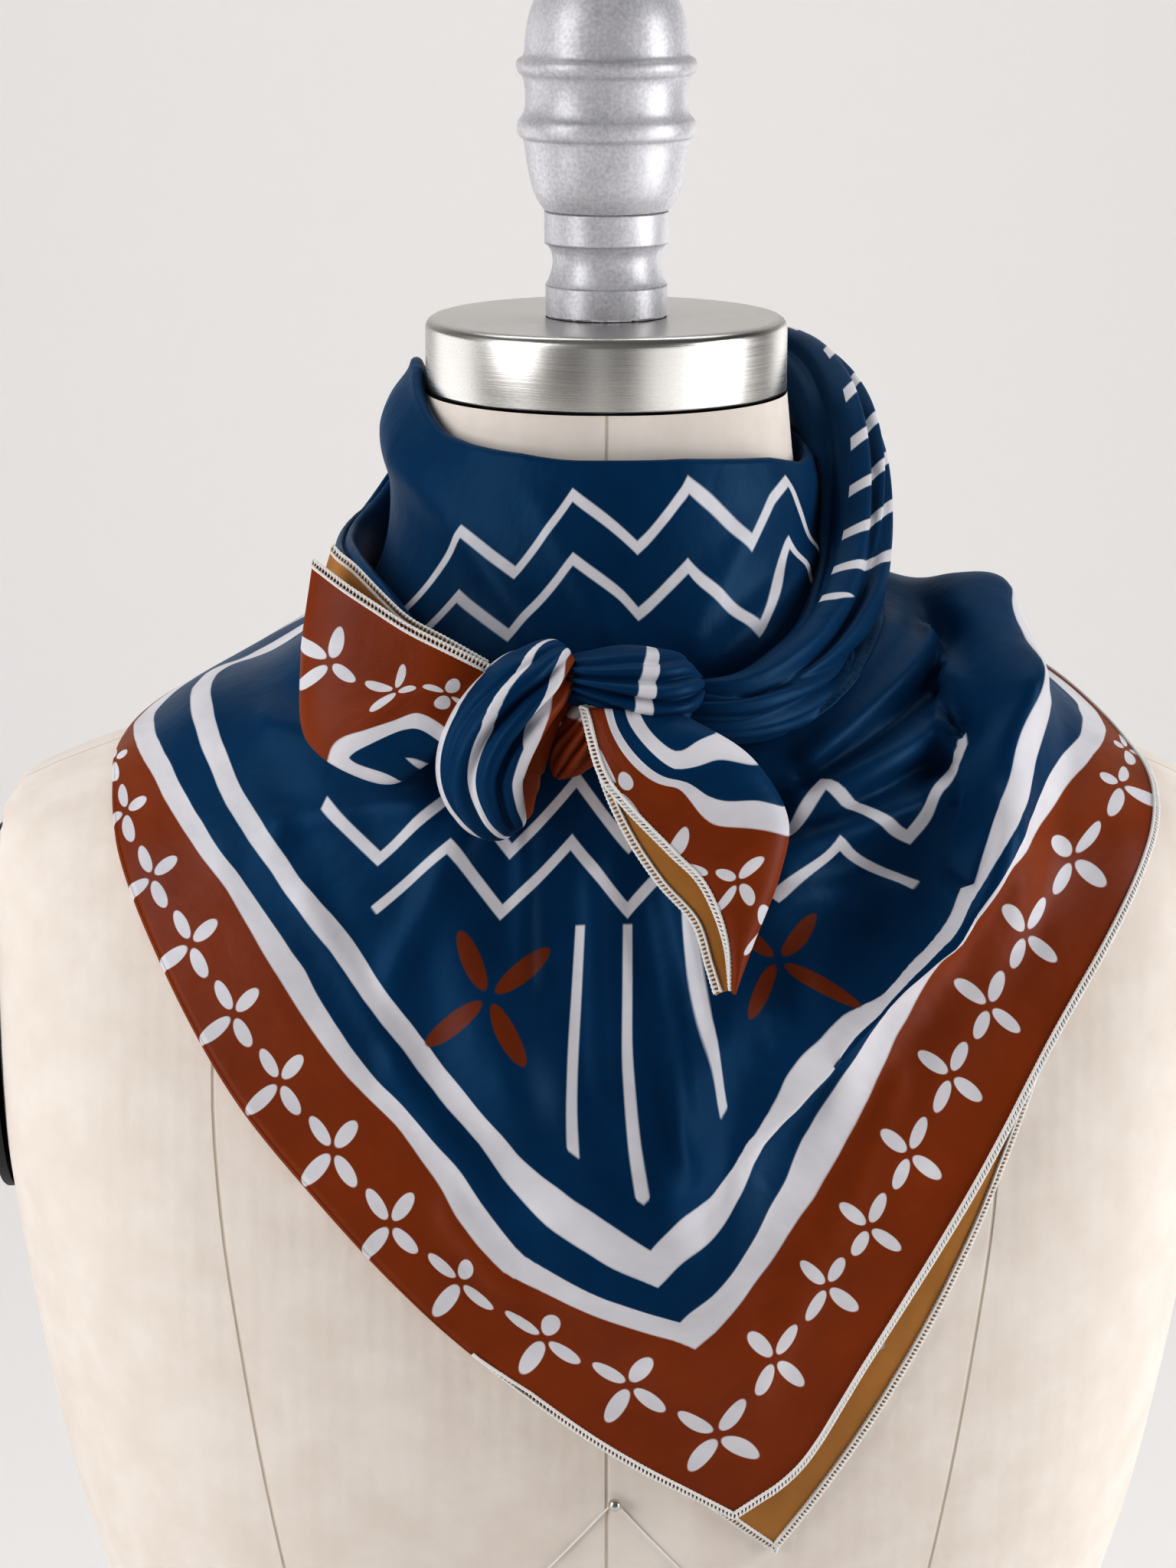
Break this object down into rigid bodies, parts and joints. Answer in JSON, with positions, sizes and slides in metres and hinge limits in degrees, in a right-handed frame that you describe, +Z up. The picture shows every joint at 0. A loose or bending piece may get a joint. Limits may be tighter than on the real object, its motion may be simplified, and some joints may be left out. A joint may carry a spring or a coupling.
{
  "type": "square silk scarf on dress form",
  "caption": "Printed square silk scarf folded to a triangle, wound round the neck of a limbless canvas dress form with a steel neck cap and turned finial, and knotted in front",
  "frame": {"origin": "on the floor under the axis of the neck, at the underside of the base board", "axes": "+Z up, the front of the form and the knot face -Y, +X is the viewer's right"},
  "size_m": [0.3826, 0.2551, 0.7916],
  "materials": {
    "board": "oiled beech plywood",
    "canvas": "cream linen canvas, stretched",
    "plate_left": "matt",
    "plate_right": "matt",
    "neck_cap": "brushed round the axis",
    "finial": "satin silver paint",
    "silk_under_layer": "printed silk, soft sheen",
    "silk_front": "printed silk, soft sheen",
    "silk_nape_to_right": "printed silk, soft sheen",
    "silk_nape_to_left": "printed silk, soft sheen",
    "silk_knot_loop": "printed silk, soft sheen",
    "silk_knot_core": "printed silk, soft sheen",
    "silk_left_tail": "printed silk, soft sheen",
    "silk_right_tail": "printed silk, soft sheen"
  },
  "bodies": {
    "root": {"form_base_board": "board", "form_body": "canvas", "form_arm_plate_left": "plate_left", "form_arm_plate_right": "plate_right", "form_neck_cap": "neck_cap", "form_finial": "finial", "scarf_under_layer": "silk_under_layer", "scarf_front": "silk_front", "scarf_nape_to_right": "silk_nape_to_right", "scarf_nape_to_left": "silk_nape_to_left", "scarf_knot_loop": "silk_knot_loop", "scarf_knot_core": "silk_knot_core", "scarf_left_tail": "silk_left_tail", "scarf_right_tail": "silk_right_tail"}
  },
  "joints": []
}
